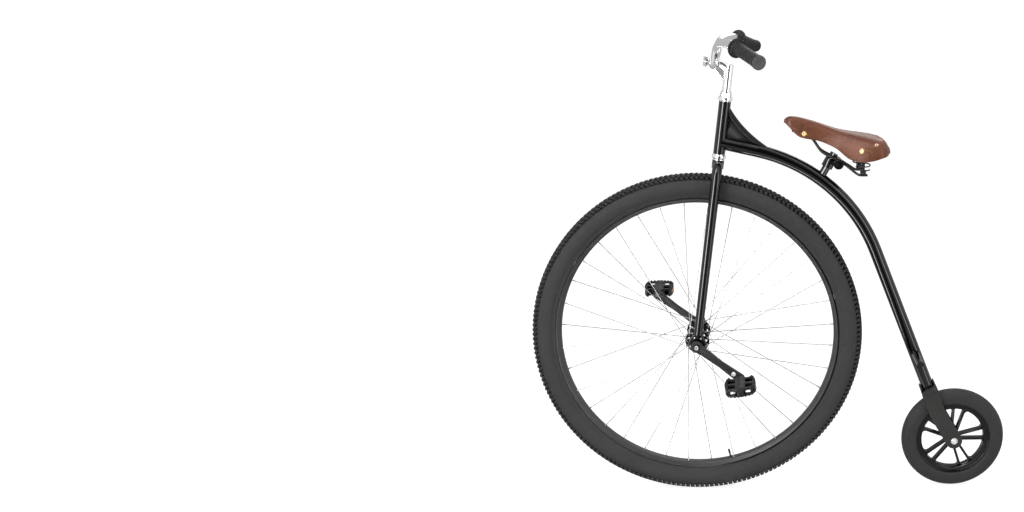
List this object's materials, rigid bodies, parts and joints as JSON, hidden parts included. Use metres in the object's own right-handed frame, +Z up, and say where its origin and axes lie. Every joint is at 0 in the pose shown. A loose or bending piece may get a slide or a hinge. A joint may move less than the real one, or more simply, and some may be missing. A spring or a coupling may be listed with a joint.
{
  "type": "penny farthing bicycle",
  "caption": "Penny farthing bicycle: big pedalled front wheel under a swept handlebar, curved backbone with a sprung leather saddle, and a small trailing wheel.",
  "frame": {"origin": "middle of the saddle's top, where the rider sits", "axes": "+Z up, +X towards the rear wheel, -Y on the rider's left"},
  "size_m": [1.3283, 0.741, 1.279],
  "materials": {
    "black_paint": "gloss",
    "satin_black": "satin",
    "chrome": "polished",
    "bright_steel": "satin",
    "tyre_rubber": "matte",
    "grip_rubber": "matte",
    "black_plastic": "matte",
    "amber": "gloss",
    "leather": "satin"
  },
  "bodies": {
    "frame": {"backbone": "black_paint", "head_tube": "black_paint", "head_gusset": "black_paint", "lower_head_cup": "chrome", "upper_head_cup": "chrome", "seat_post": "black_paint", "seat_clamp": "satin_black", "saddle_leather": "leather", "saddle_rail_left": "satin_black", "saddle_rail_right": "satin_black", "saddle_spring_left": "satin_black", "saddle_spring_right": "satin_black", "saddle_cantle": "satin_black", "saddle_nose_block": "satin_black", "step_peg": "satin_black", "rear_fork_crown": "satin_black", "rear_fork_left": "satin_black", "rear_fork_right": "satin_black", "rear_axle": "bright_steel"},
    "steering": {"fork_crown": "black_paint", "fork_blade_left": "black_paint", "fork_blade_right": "black_paint", "bearing_holder_left": "black_paint", "bearing_holder_right": "black_paint", "bearing_cap_left": "black_paint", "bearing_cap_right": "black_paint", "crown_race": "chrome", "headset_locknut": "chrome", "stem": "chrome", "handlebar": "chrome", "grip_left": "grip_rubber", "grip_right": "grip_rubber"},
    "front_wheel": {"front_tyre": "tyre_rubber", "front_rim": "satin_black", "valve_stem": "black_plastic", "front_hub_and_spokes": "bright_steel", "front_axle": "bright_steel", "crank_left": "satin_black", "crank_right": "satin_black", "pedal_axle_left": "bright_steel", "pedal_axle_right": "bright_steel"},
    "pedal_left": {"pedal_left": "black_plastic", "pedal_left_reflector_front": "amber", "pedal_left_reflector_rear": "amber"},
    "pedal_right": {"pedal_right": "black_plastic", "pedal_right_reflector_front": "amber", "pedal_right_reflector_rear": "amber"},
    "rear_wheel": {"rear_tyre": "tyre_rubber", "rear_wheel_moulding": "black_plastic"}
  },
  "joints": [
    {"name": "steering_turn", "type": "hinge", "parent": "frame", "child": "steering", "pos_m": [-0.42999, 0, -0.56604], "axis": [0.1236, 0, 0.9923], "range_deg": [-90, 90]},
    {"name": "front_wheel_spin", "type": "hinge", "parent": "steering", "child": "front_wheel", "pos_m": [-0.42999, 0, -0.56604], "axis": [0, 1, 0], "continuous": true},
    {"name": "left_pedal_spin", "type": "hinge", "parent": "front_wheel", "child": "pedal_left", "pos_m": [-0.31217, -0.1586, -0.65645], "axis": [0, 1, 0], "continuous": true},
    {"name": "right_pedal_spin", "type": "hinge", "parent": "front_wheel", "child": "pedal_right", "pos_m": [-0.5478, 0.1586, -0.47564], "axis": [0, 1, 0], "continuous": true},
    {"name": "rear_wheel_spin", "type": "hinge", "parent": "frame", "child": "rear_wheel", "pos_m": [0.29485, 0, -0.87654], "axis": [0, 1, 0], "continuous": true}
  ]
}
